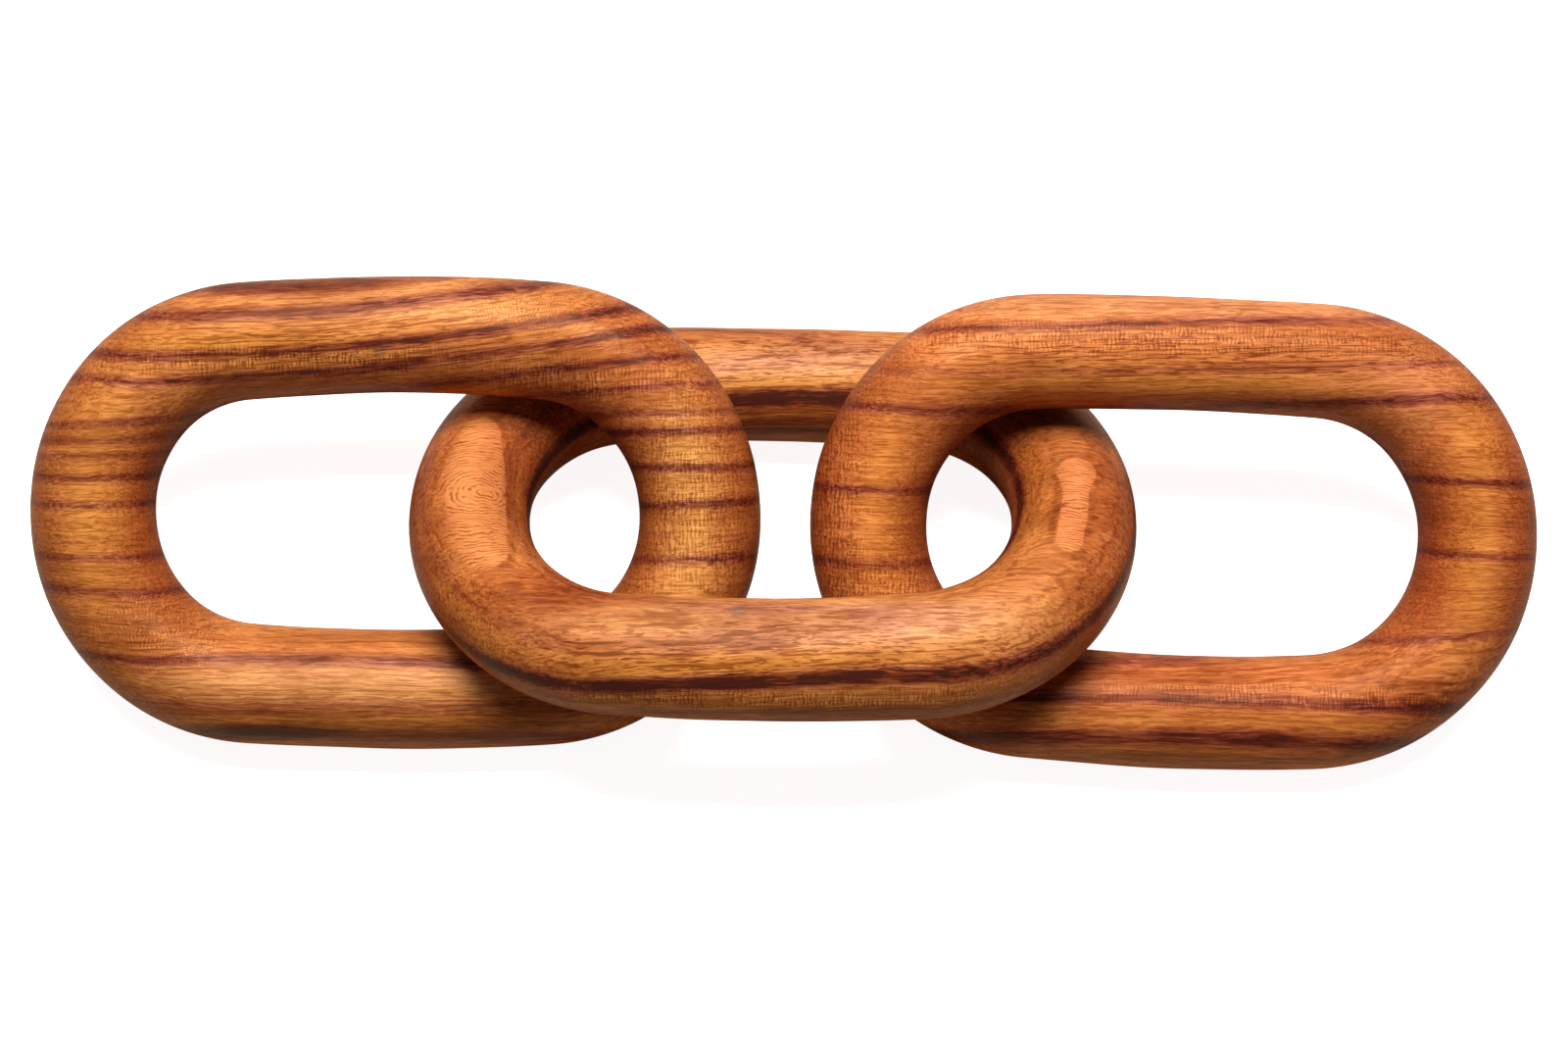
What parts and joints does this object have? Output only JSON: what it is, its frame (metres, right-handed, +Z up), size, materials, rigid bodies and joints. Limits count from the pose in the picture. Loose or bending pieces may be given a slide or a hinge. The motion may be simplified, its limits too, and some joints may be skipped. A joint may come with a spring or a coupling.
{
  "type": "wooden chain",
  "caption": "Decorative carved wooden chain: thick round-barred oval links, interlocked without any joint line, lying loose with the links leaning alternately forwards and back.",
  "frame": {"origin": "middle of the chain's footprint, on the surface it lies on", "axes": "+X along the chain from the left link to the right link, +Y towards its back, +Z up"},
  "size_m": [0.398, 0.124, 0.067],
  "materials": {
    "oiled_wood": "hand-sanded, oiled to a satin sheen, open grain with dark growth lines"
  },
  "bodies": {
    "root": {"left_link": "oiled_wood", "middle_link": "oiled_wood", "right_link": "oiled_wood"}
  },
  "joints": []
}
